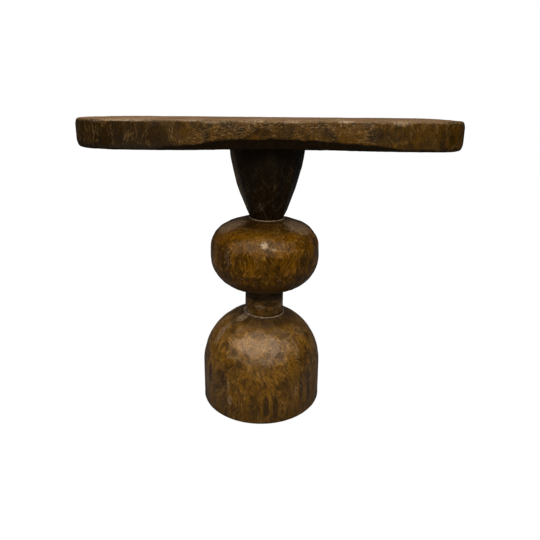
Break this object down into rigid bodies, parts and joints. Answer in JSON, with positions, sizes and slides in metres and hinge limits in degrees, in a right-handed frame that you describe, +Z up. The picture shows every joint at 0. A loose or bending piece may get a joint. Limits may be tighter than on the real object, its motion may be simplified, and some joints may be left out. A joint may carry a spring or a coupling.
{
  "type": "pedestal console table",
  "caption": "Console table with a thick carved hardwood slab on a stacked pedestal: tapered capital, squashed bulb, short neck and domed base, held by an inner tie rod.",
  "frame": {"origin": "on the floor, under the middle of the slab", "axes": "+X along the slab towards its squarer end, +Y from the front to the back, +Z up"},
  "size_m": [0.9556, 0.3296, 0.76],
  "materials": {
    "slab_wood": "hand carved, dark stained and waxed",
    "capital_wood": "hand carved, darkest stain, waxed",
    "pedestal_wood": "hand carved, golden brown stain, satin wax",
    "dowel_wood": "plain turned beech",
    "zinc_steel": "bright zinc plate",
    "plate_steel": "black primer",
    "felt": "pressed wool felt"
  },
  "bodies": {
    "root": {"tabletop": "slab_wood", "capital": "capital_wood", "bulb": "pedestal_wood", "neck": "pedestal_wood", "dome_base": "pedestal_wood", "tie_rod": "zinc_steel", "top_plate": "plate_steel", "top_plate_screws": "zinc_steel", "base_washer": "zinc_steel", "base_lock_washer": "zinc_steel", "base_nut": "zinc_steel", "slab_joint_dowels": "dowel_wood", "capital_joint_dowels": "dowel_wood", "bulb_joint_dowels": "dowel_wood", "neck_joint_dowels": "dowel_wood", "felt_pad_1": "felt", "felt_pad_2": "felt", "felt_pad_3": "felt", "felt_pad_4": "felt"}
  },
  "joints": []
}
